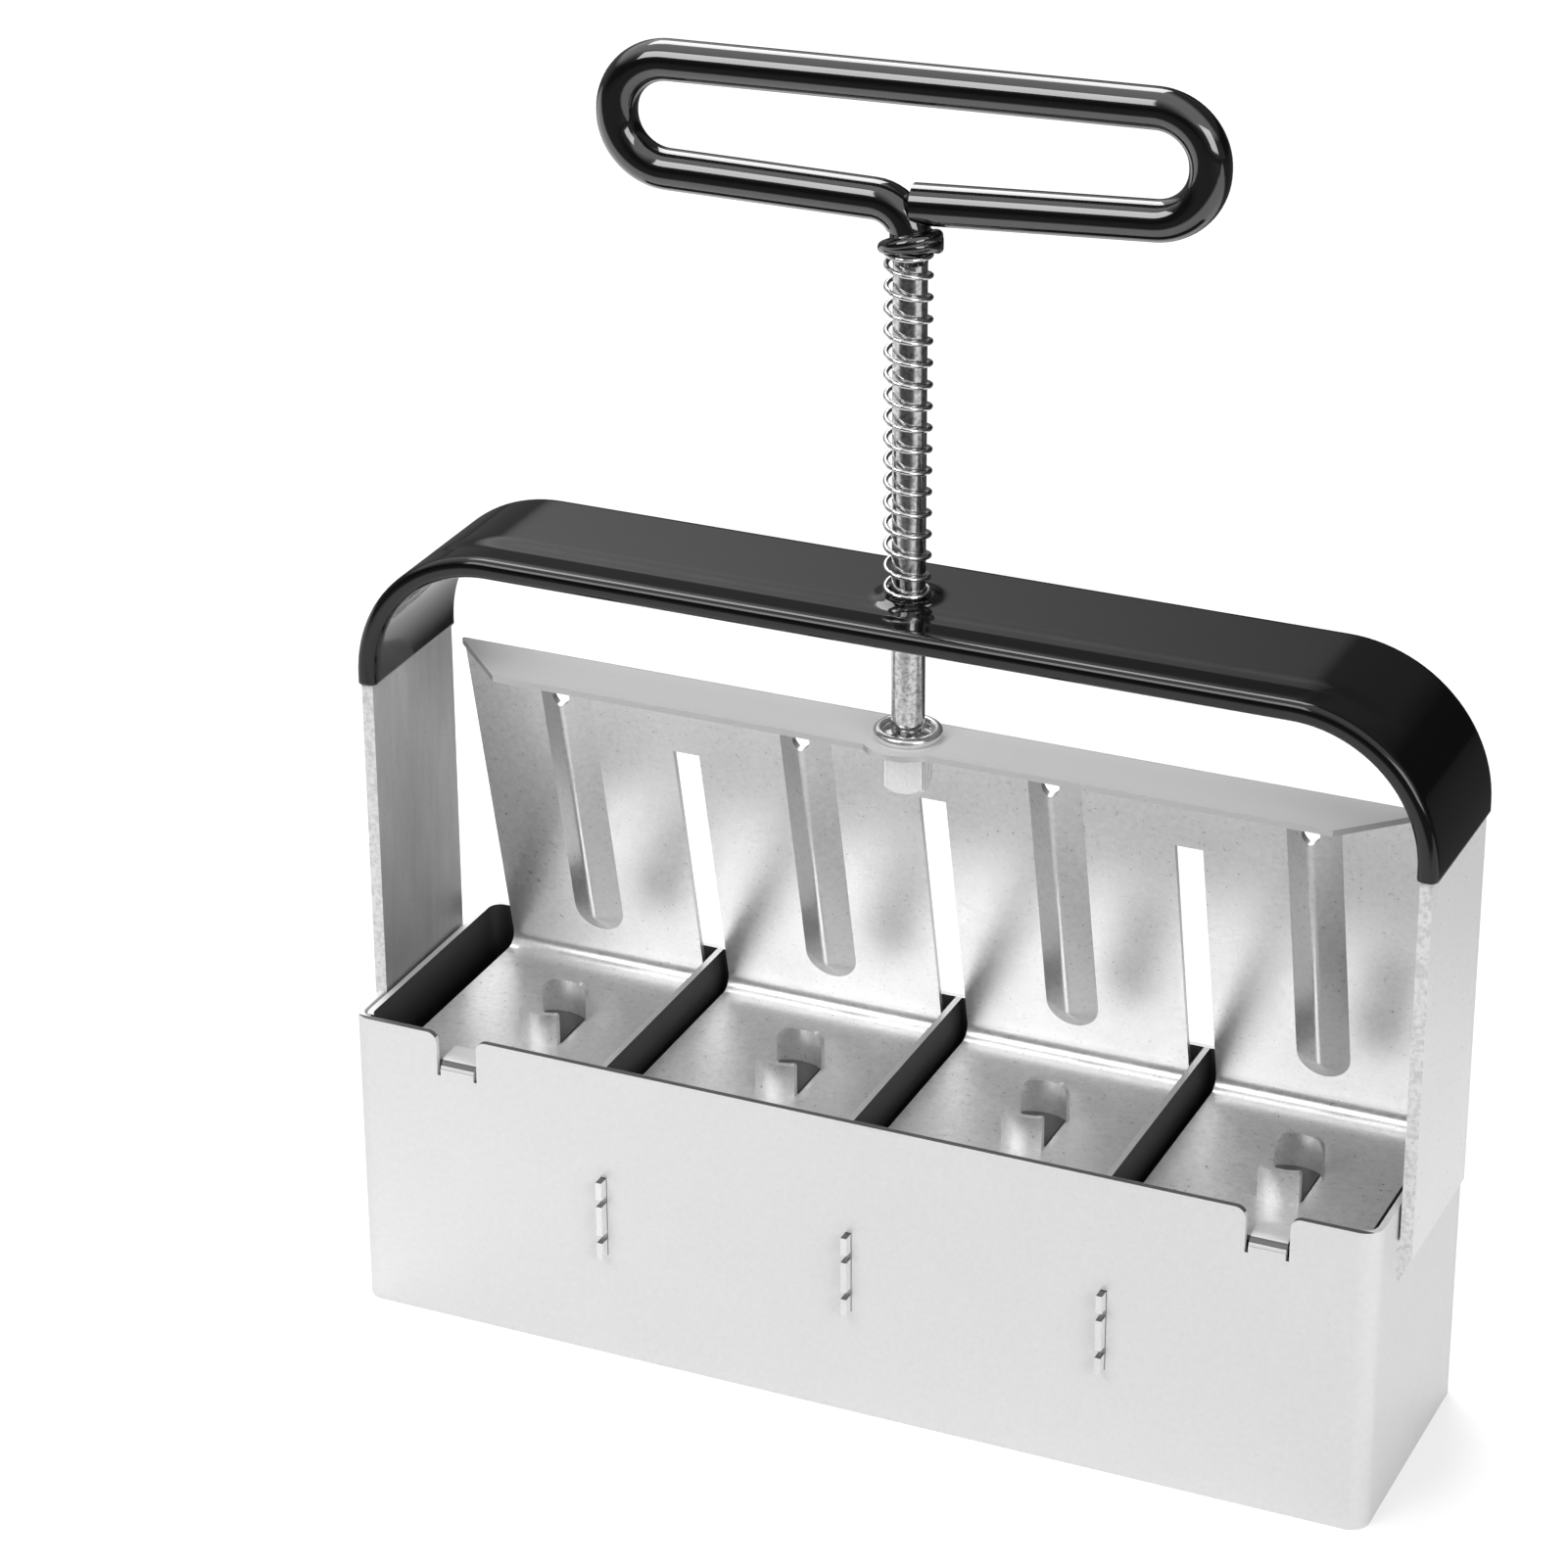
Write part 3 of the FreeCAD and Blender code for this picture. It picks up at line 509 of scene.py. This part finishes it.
# %% Strap's middle line
grip_low, grip_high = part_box("strap_grip")
GRIP_SKIN = 0.8 * MM
STRAP_SHEET = 2.4 * MM
STRAP_BEND = 26.0 * MM                  # radius of the middle line in the bends
SPRING_SEAT = 0.159                     # top of the vinyl round the rod
SEAT_RISE = 0.6 * MM
GRIP_HALF_THICKNESS = STRAP_SHEET / 2 + GRIP_SKIN
GRIP_HALF_WIDTH = (grip_high.y - grip_low.y) / 2
run_z = SPRING_SEAT - SEAT_RISE - GRIP_HALF_THICKNESS
leg_x = grip_high.x - GRIP_HALF_THICKNESS
bend_x, bend_z = leg_x - STRAP_BEND, run_z - STRAP_BEND


def strap_stations():
    """(place, outward direction, share of the edge bead) along the strap, left foot to right foot."""
    stations = []
    run_length = 2 * bend_x
    run_steps, bend_steps = 60, 26
    fine_step, fine_count = 0.6 * MM, 15    # finer rings on both sides of the rod
    fine_half = fine_step * fine_count
    bead_share = 0.45                       # the bead fades out over this share of the bend
    leg = bend_z - grip_low.z
    for share in (0.0, 0.12, 0.3, 0.5, 1.0):
        stations.append((Vector((-leg_x, 0, grip_low.z + leg * share)), Vector((-1, 0, 0)), 0.0))
    for step in range(1, bend_steps):
        angle = math.pi - math.pi / 2 * step / bend_steps
        out = Vector((math.cos(angle), 0, math.sin(angle)))
        bead = max(0.0, 1 - (bend_steps - step) / (bead_share * bend_steps))
        stations.append((Vector((-bend_x, 0, bend_z)) + out * STRAP_BEND, out, bead))
    coarse = [-run_length / 2 + run_length * k / run_steps for k in range(run_steps + 1)]
    fine = [k * fine_step for k in range(-fine_count, fine_count + 1)]
    for x in sorted([x for x in coarse if abs(x) > fine_half + 0.5 * MM] + fine):
        stations.append((Vector((x, 0, run_z)), Vector((0, 0, 1)), 1.0))
    mirrored = [(Vector((-place.x, 0, place.z)), Vector((-out.x, 0, out.z)), bead)
                for place, out, bead in stations if place.x < -bend_x - 0.01 * MM]
    return stations + mirrored[::-1]


print("rings along the strap:", len(strap_stations()))

# %% Grip outline
EDGE_ROUND = 1.5 * MM
GROOVE_LINE = -4.2 * MM                 # where the top starts to dip, towards the front
GROOVE_FLOOR = -9.0 * MM
GROOVE_DEPTH = 0.455 * MM
GROOVE_END = -14.6 * MM                 # crest of the front bead
GROOVE_SWEEP = 1.1                      # how hollow its far slope is; 1 is straight


def smooth_step(value):
    """0 up to 0, 1 from 1 on, and a soft S between."""
    value = min(1.0, max(0.0, value))
    return value * value * (3 - 2 * value)


def groove(u):
    """How far the top lies below its edge bead, as a share, at a place across the strap."""
    if u >= GROOVE_FLOOR:
        return smooth_step((GROOVE_LINE - u) / (GROOVE_LINE - GROOVE_FLOOR))
    return max(0.0, 1 - (GROOVE_FLOOR - u) / (GROOVE_FLOOR - GROOVE_END)) ** GROOVE_SWEEP


def grip_outline():
    """Outline points (across, outward) of the skin, top from front to back, then the underside."""
    half, thick, r = GRIP_HALF_WIDTH, GRIP_HALF_THICKNESS, EDGE_ROUND
    flat_steps = 60
    corner = [(math.cos(a), math.sin(a)) for a in [math.pi / 2 * k / 8 for k in range(9)]]
    front_top = [(-half + r - r * c, thick - r + r * d) for c, d in corner]
    flat = [-half + r + (2 * half - 2 * r) * k / flat_steps for k in range(1, flat_steps)]
    back_top = [(half - r + r * c, thick - r + r * d) for c, d in reversed(corner)]
    top = front_top + [(u, thick) for u in flat] + back_top
    under = [(u, -v) for u, v in reversed(top)]
    return top + under[::3]


print("points round the outline:", len(grip_outline()))

# %% Dipped grip mesh
LIP = 1.0 * MM                          # the rounded lower end of the skin
LIP_DRAW = 0.97                         # share of the skin that the lip loses at its end
SEAT_TOP = 4.8 * MM                     # flat under the spring to this radius
SEAT_FLARE = 2.4 * MM


def seat_rise(x, u):
    """The vinyl's rise round the spring's seat."""
    distance = math.hypot(x, u)
    return SEAT_RISE * max(0.0, 1 - max(0.0, distance - SEAT_TOP) / SEAT_FLARE) ** 2


def grip_ring(place, out, bead, shrink):
    """One ring of the skin; shrink draws it in to the strap at the lip."""
    ring = []
    for u, v in grip_outline():
        if v > 0 and abs(u) < GRIP_HALF_WIDTH - EDGE_ROUND:
            v -= GROOVE_DEPTH * bead * groove(u)
            if out.z > 0.999:
                v += seat_rise(place.x, u)
        ring.append(place + Vector((0, u * (1 - shrink * GRIP_SKIN / GRIP_HALF_WIDTH), 0))
                    + out * v * (1 - shrink * GRIP_SKIN / GRIP_HALF_THICKNESS))
    return ring


def grip_rings():
    """Rings from foot to foot, with a rounded lip at both ends."""
    first, *middle, last = strap_stations()
    quarter = [math.pi / 2 * k / 6 for k in range(6)]
    lip = [(LIP * (1 - math.cos(angle)), 1 - math.sin(angle)) for angle in quarter]
    rings = [grip_ring(first[0] + Vector((0, 0, rise)), first[1], 0, LIP_DRAW * drawn)
             for rise, drawn in lip]
    rings += [grip_ring(place, out, bead, 0) for place, out, bead in middle]
    rings += [grip_ring(last[0] + Vector((0, 0, rise)), last[1], 0, LIP_DRAW * drawn)
              for rise, drawn in reversed(lip)]
    return rings


grip_skin = mesh_object("dipped_grip", *loft(grip_rings()), strap_vinyl, "strap_vinyl")

# %% Hole for the rod
ROD_HOLE = 3.8 * MM
CUT_REACH = 5 * MM                      # the cutter stands out this far above and below


def round_bar(name, radius, low, high, sides=64):
    """A closed upright bar, used only to cut with."""
    rings = [[Vector((radius * math.cos(a), radius * math.sin(a), z))
              for a in [2 * math.pi * k / sides for k in range(sides)]] for z in (low, high)]
    return mesh_object(name, *loft(rings), strap_vinyl, "strap_vinyl")


rod_cutter = round_bar("rod_cutter", ROD_HOLE, run_z - CUT_REACH, run_z + CUT_REACH)
cut = grip_skin.modifiers.new("rod_hole", "BOOLEAN")
cut.operation = "DIFFERENCE"
cut.object = rod_cutter
bpy.context.view_layer.objects.active = grip_skin
bpy.ops.object.modifier_apply(modifier=cut.name)
bpy.data.objects.remove(rod_cutter)
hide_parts("strap_grip")
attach(grip_skin, "case")
print("grip points after the hole:", len(grip_skin.data.vertices))

# %% [markdown]
# ## Bright metal
# The rod is drawn bar, and the washer and the nut are plated. Drawing leaves fine lines along the bar
# with small dark pits between them, which break up the mirror. Noise drawn out along Z gives the
# lines: it needs no modelled scratches, and unlike an image it never repeats. The spring's wire has
# the same metal with hardly any lines.

# %% Metal with drawing lines
LINE_SCALE, LINE_STRETCH = 1800.0, 0.03
BAR_PIT_SCALE = 1300.0


def bright_metal(name, tone, roughness, streak, grain=0.0, mirror=1.0):
    """Drawn or plated metal: fine lines along Z and, on drawn bar, a coarse dark grain."""
    material, tree, shader = new_material(name, Metallic=mirror)
    place = add_node(tree, "ShaderNodeTexCoord").outputs["Object"]
    stretched = add_node(tree, "ShaderNodeMapping", {"Vector": place, "Scale": (1, 1, LINE_STRETCH)})
    lines = add_node(tree, "ShaderNodeTexNoise",
                     {"Vector": stretched.outputs["Vector"], "Scale": LINE_SCALE, "Detail": 3.0})
    lined = ramp(tree, lines.outputs["Fac"], *NOISE_RANGE, 1 - streak, 1 + 0.5 * streak)
    pits = add_node(tree, "ShaderNodeTexNoise", {"Vector": place, "Scale": BAR_PIT_SCALE, "Detail": 2.0})
    pitted = ramp(tree, pits.outputs["Fac"], *DOT_RANGE, 1 - grain, 1.0)
    colour = shade_colour(tree, grey(tone), maths(tree, "MULTIPLY", lined, pitted))
    tree.links.new(colour, shader.inputs["Base Color"])
    rough = ramp(tree, lines.outputs["Fac"], 0.0, 1.0, roughness * 0.7, roughness * 1.3)
    tree.links.new(rough, shader.inputs["Roughness"])
    return material


dress(bright_metal("rod_bright", tone=0.72, roughness=0.14, streak=0.15, grain=0.45), "plunger_rod")
dress(bright_metal("washer_bright", tone=0.90, roughness=0.20, streak=0.05, mirror=0.75),
      "push_on_washer")
dress(bright_metal("nut_bright", tone=0.95, roughness=0.26, streak=0.02, grain=0.08, mirror=0.6),
      "ejector_nut")

# %% [markdown]
# ## The return spring
# The imported spring is one plain helix. The real one ends in half a flat turn on its seat, and the
# pitch opens over the next half turn. The wire is swept along a curve whose height is the sum of a
# pitch that changes with the turn.

# %% Spring
SPRING_WIRE = 0.9 * MM
SPRING_RADIUS = 4.0 * MM
SPRING_LEAN = Vector((-0.27, -0.12, 0)) * MM   # the loose coil rests against the rod
SPRING_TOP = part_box("return_spring")[1].z + 1.2 * MM    # its last turn is inside the collar
CLOSED_PITCH = 0.3 * MM
OPEN_PITCH = 4.11 * MM
CLOSED_TURNS = 0.55
OPENING_TURNS = 0.50
MIDDLE_TURN = math.radians(325)         # where the wire is half way up
STEPS_PER_TURN = 40


def spring_path():
    """Points of the wire's middle line, from the seat up, left hand."""
    def pitch(turn, turns):
        from_end = min(turn, turns - turn)
        opened = smooth_step((from_end - CLOSED_TURNS) / OPENING_TURNS)
        return CLOSED_PITCH + (OPEN_PITCH - CLOSED_PITCH) * opened

    height = SPRING_TOP - SPRING_SEAT - SPRING_WIRE
    closed_rise = 2 * (CLOSED_TURNS * CLOSED_PITCH + OPENING_TURNS * (CLOSED_PITCH + OPEN_PITCH) / 2)
    turns = 2 * (CLOSED_TURNS + OPENING_TURNS) + (height - closed_rise) / OPEN_PITCH
    steps = round(turns * STEPS_PER_TURN)
    heights = [0.0]
    for k in range(steps):
        heights.append(heights[-1] + pitch((k + 0.5) / steps * turns, turns) * turns / steps)
    stretch = height / heights[-1]
    points = []
    for k, rise in enumerate(heights):
        angle = MIDDLE_TURN - 2 * math.pi * (k / steps - 0.5) * turns
        wire_height = SPRING_SEAT + SPRING_WIRE / 2 + rise * stretch
        points.append(SPRING_LEAN + Vector((SPRING_RADIUS * math.cos(angle),
                                            SPRING_RADIUS * math.sin(angle), wire_height)))
    print("spring turns:", round(turns, 2))
    return points


def wire_rings(path, radius, sides=14):
    """Round rings square to a path that winds about the Z axis."""
    rings = []
    for k, place in enumerate(path):
        ahead = path[min(k + 1, len(path) - 1)] - path[max(k - 1, 0)]
        ahead.normalize()
        outward = Vector((place.x, place.y, 0)) - Vector((SPRING_LEAN.x, SPRING_LEAN.y, 0))
        outward.normalize()
        upward = ahead.cross(outward).normalized()
        rings.append([place + radius * (math.cos(a) * outward + math.sin(a) * upward)
                      for a in [2 * math.pi * step / sides for step in range(sides)]])
    return rings


spring_material = bright_metal("spring_bright", tone=0.82, roughness=0.10, streak=0.04)
spring = mesh_object("wound_spring", *loft(wire_rings(spring_path(), SPRING_WIRE / 2)),
                     spring_material, "spring_steel")
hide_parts("return_spring")
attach(spring, "case")
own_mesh(spring)

# %% [markdown]
# ## The dipped collar
# The spring's top turns were dipped together with the loop. Two thick coated turns show: the lower
# one lies nearly level, the upper one climbs to the right, and a lump of vinyl fills the gap between
# them there. A thin film has run a little way down the rod.

# %% Collar
COLLAR_LOW = 0.2253                     # height of the lower turn
COLLAR_HIGH = 0.2262
TURN_WIRE = 1.12 * MM                   # radius of a coated turn
TURN_RADIUS = 4.75 * MM
LOWER_CLIMB = math.radians(2)
UPPER_CLIMB = math.radians(12)
FRONT_RISE = math.radians(15)
TILT_HEADING = math.radians(24.393)     # the turns climb towards here, about Z from +X
LUMP_SIDE = 0.15                        # the lump lies this far from there, in radians
LUMP_LOW, LUMP_HIGH = 0.2252, 0.2267


def coated_turn(height, climb, steps=72, sides=20):
    """Points and faces of a closed ring, raised in front and climbing to the right."""
    tilt = (Matrix.Rotation(TILT_HEADING, 3, "Z") @ Matrix.Rotation(-climb, 3, "Y")
            @ Matrix.Rotation(-FRONT_RISE, 3, "X"))
    points, faces = [], []
    for k in range(steps):
        around = 2 * math.pi * k / steps
        outward = Vector((math.cos(around), math.sin(around), 0))
        for step in range(sides):
            a = 2 * math.pi * step / sides
            rise = Vector((0, 0, TURN_WIRE * math.sin(a)))
            local = outward * (TURN_RADIUS + TURN_WIRE * math.cos(a)) + rise
            points.append(tilt @ local + Vector((0, 0, height)))
            here, after, beside = k * sides, (k + 1) % steps * sides, (step + 1) % sides
            faces.append((here + step, after + step, after + beside, here + beside))
    return points, faces


def turned_form(profile, centre, sides=40):
    """Points and faces of a closed turned form about a vertical line, from (radius, height) pairs."""
    rings = [[centre + Vector((r * math.cos(a), r * math.sin(a), z))
              for a in [2 * math.pi * k / sides for k in range(sides)]] for r, z in profile]
    return loft(rings)


def capsule_profile(radius, low, high, steps=10):
    """Outline of an upright bar with round ends."""
    lower = [(radius * math.sin(a), low - radius * math.cos(a))
             for a in [math.pi / 2 * (k + 0.3) / steps for k in range(steps)]]
    upper = [(r, low + high - z) for r, z in reversed(lower)]
    return lower + upper


# %% Collar from its turns, lump and film
lump_heading = TILT_HEADING - LUMP_SIDE
lump_place = TURN_RADIUS * Vector((math.cos(lump_heading), math.sin(lump_heading), 0))
film_profile = [(3.16 * MM, 0.2224), (3.2 * MM, 0.2245), (3.7 * MM, 0.2252), (3.76 * MM, 0.2283)]
collar_points, collar_faces = [], []
for part_points, part_faces in (
        coated_turn(COLLAR_LOW, LOWER_CLIMB), coated_turn(COLLAR_HIGH, UPPER_CLIMB),
        turned_form(capsule_profile(TURN_WIRE, LUMP_LOW, LUMP_HIGH), lump_place),
        turned_form(film_profile, Vector())):
    offset = len(collar_points)
    collar_points += [tuple(point) for point in part_points]
    collar_faces += [tuple(index + offset for index in face) for face in part_faces]
collar = mesh_object("dipped_collar", collar_points, collar_faces, loop_vinyl, "loop_vinyl")
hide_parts("spring_collar")
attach(collar, "plunger")

# %% [markdown]
# ## Seed pins
# A moulded pin under each pad presses the dimple for the seed. The plastic is dark and even, so a
# plain colour is enough, with a fine texture in its roughness to keep the highlights soft.

# %% Pin plastic
PIN_TONE = 0.05
PIN_ROUGHNESS = (0.4, 0.6)
PIN_TEXTURE_SCALE = 1500.0


def pin_plastic():
    """Dark grey moulded plastic with a fine texture."""
    material, tree, shader = new_material("pin_black", Base_Color=grey(PIN_TONE))
    place = add_node(tree, "ShaderNodeTexCoord").outputs["Object"]
    texture = add_node(tree, "ShaderNodeTexNoise",
                       {"Vector": place, "Scale": PIN_TEXTURE_SCALE, "Detail": 2.0})
    rough = ramp(tree, texture.outputs["Fac"], 0.0, 1.0, *PIN_ROUGHNESS)
    tree.links.new(rough, shader.inputs["Roughness"])
    return material


dress(pin_plastic(), "seed_pin_1", "seed_pin_2", "seed_pin_3", "seed_pin_4")

# %% [markdown]
# ## Studio table
# The object stands on a white table under three soft lamps. To the camera the table is white all over,
# apart from the object's shadow, and it has no visible end. Its paint is white only near the object
# and dark beyond a line in front and one behind, so that reflections and bounced light see a table
# that ends. Light Path tells the camera's rays from the others.

# %% Table
TABLE_HALF = 6.0
TABLE_EDGE = -0.38                      # front end of the white area
TABLE_FADE = 0.10
DARK_CORNER = (0.2, 0.98, 0)            # heading of the table's dark far side
CORNER_EDGE = 0.27
TABLE_PAINT = (0.05, 0.82)              # beyond the edges and on the white area
TABLE_GLOW = (1.0, 0.3)                 # for the camera only, so that both look white to it
table_mesh = bpy.data.meshes.new("table")
table_mesh.from_pydata([(-TABLE_HALF, -TABLE_HALF, 0), (TABLE_HALF, -TABLE_HALF, 0),
                        (TABLE_HALF, TABLE_HALF, 0), (-TABLE_HALF, TABLE_HALF, 0)], [], [(0, 1, 2, 3)])
table = bpy.data.objects.new("table", table_mesh)
scene.collection.objects.link(table)
table_material, table_tree, table_shader = new_material("table_white", Roughness=0.9)
front_part = ramp(table_tree, place_axes(table_tree)["Y"], TABLE_EDGE, TABLE_EDGE + TABLE_FADE)
table_place = add_node(table_tree, "ShaderNodeTexCoord").outputs["Object"]
to_corner = add_node(table_tree, "ShaderNodeVectorMath", {0: table_place, 1: DARK_CORNER},
                     operation="DOT_PRODUCT").outputs["Value"]
back_part = ramp(table_tree, to_corner, CORNER_EDGE - TABLE_FADE, CORNER_EDGE, 1.0, 0.0)
whiteness = maths(table_tree, "MULTIPLY", front_part, back_part)
paint = ramp(table_tree, whiteness, 0.0, 1.0, *TABLE_PAINT)
table_tree.links.new(grey_socket(table_tree, paint), table_shader.inputs["Base Color"])
seen_by_camera = add_node(table_tree, "ShaderNodeLightPath").outputs["Is Camera Ray"]
glow = maths(table_tree, "MULTIPLY", seen_by_camera, ramp(table_tree, whiteness, 0.0, 1.0, *TABLE_GLOW))
table_tree.links.new(glow, table_shader.inputs["Emission Strength"])
table_shader.inputs["Emission Color"].default_value = grey(1.0)
table_mesh.materials.append(table_material)
print("table:", len(table_tree.nodes), "shader nodes")

# %% [markdown]
# ## World
# The background has two jobs. To the camera it is plain white. To metal and vinyl it is the room that
# they mirror, and a room that is white all over would leave them without form. So reflections see the
# same white with two dark patches and a dark band low in the room, which give them their dark lines.

# %% World
SKY = 0.90                              # the room's strength as a light
LOW_BAND = (0.28, 0.42)                 # the dark band fades out between these, as a sine
BAND_SHADE = 0.15
world = bpy.data.worlds.new("studio")
scene.world = world
world.use_nodes = True
sky = world.node_tree
background = sky.nodes["Background"]
heading = add_node(sky, "ShaderNodeTexCoord").outputs["Generated"]


def room_shade(direction, start, end, least):
    """1 away from a heading, falling to least around it; start and end are cosines."""
    cosine = add_node(sky, "ShaderNodeVectorMath", {0: heading, 1: direction}, operation="DOT_PRODUCT")
    return ramp(sky, cosine.outputs["Value"], start, end, 1.0, least)


front_dark = room_shade((-0.42, -0.907, 0), start=0.45, end=0.80, least=0.15)
back_dark = room_shade((0.46, 0.81, 0.36), start=0.57, end=0.78, least=0.10)
height = add_node(sky, "ShaderNodeSeparateXYZ", {0: heading}).outputs["Z"]
from_low = ramp(sky, height, *LOW_BAND, BAND_SHADE, 1.0)
room = maths(sky, "MULTIPLY", maths(sky, "MULTIPLY", front_dark, back_dark), from_low)
ray = add_node(sky, "ShaderNodeLightPath").outputs
reflected = maths(sky, "MAXIMUM", ray["Is Glossy Ray"], ray["Is Transmission Ray"])
in_metal = maths(sky, "MULTIPLY", room, reflected)
brighter = maths(sky, "MAXIMUM", maths(sky, "MULTIPLY", room, SKY), in_metal)
seen = maths(sky, "MAXIMUM", brighter, ray["Is Camera Ray"])
background.inputs["Color"].default_value = grey(1.0)
sky.links.new(seen, background.inputs["Strength"])
print("world:", len(sky.nodes), "nodes")

# %% [markdown]
# ## Lamps
# Three rectangular area lamps act as softboxes. A lamp's watts spread over its surface, so they are
# worked out from the brightness that the surface should have. A lamp can then be made larger for
# softer shadows without changing how bright its reflection looks.


# %% Lamps
def softbox(name, place, tilt_and_turn, width, depth, radiance):
    """A rectangular area lamp, tilted about X from facing straight down, then turned about Z."""
    data = bpy.data.lights.new(name, "AREA")
    data.shape = "RECTANGLE"
    data.size = width
    data.size_y = depth
    data.energy = radiance * math.pi * width * depth
    lamp = bpy.data.objects.new(name, data)
    scene.collection.objects.link(lamp)
    lamp.location = place
    tilt, turn = tilt_and_turn
    lamp.rotation_euler = (math.radians(tilt), 0, math.radians(turn))
    print(name, "watts:", round(data.energy, 1))
    return lamp


softbox("overhead_lamp", (-0.70, 1.05, 1.70), (0, 0), width=1.1, depth=1.20, radiance=4.8)
softbox("front_lamp", (-0.57, -0.98, 1.15), (47, 0), width=0.9, depth=0.70, radiance=4.5)
softbox("side_lamp", (1.50, -0.95, 0.75), (67, 58), width=0.9, depth=0.9, radiance=4.0)
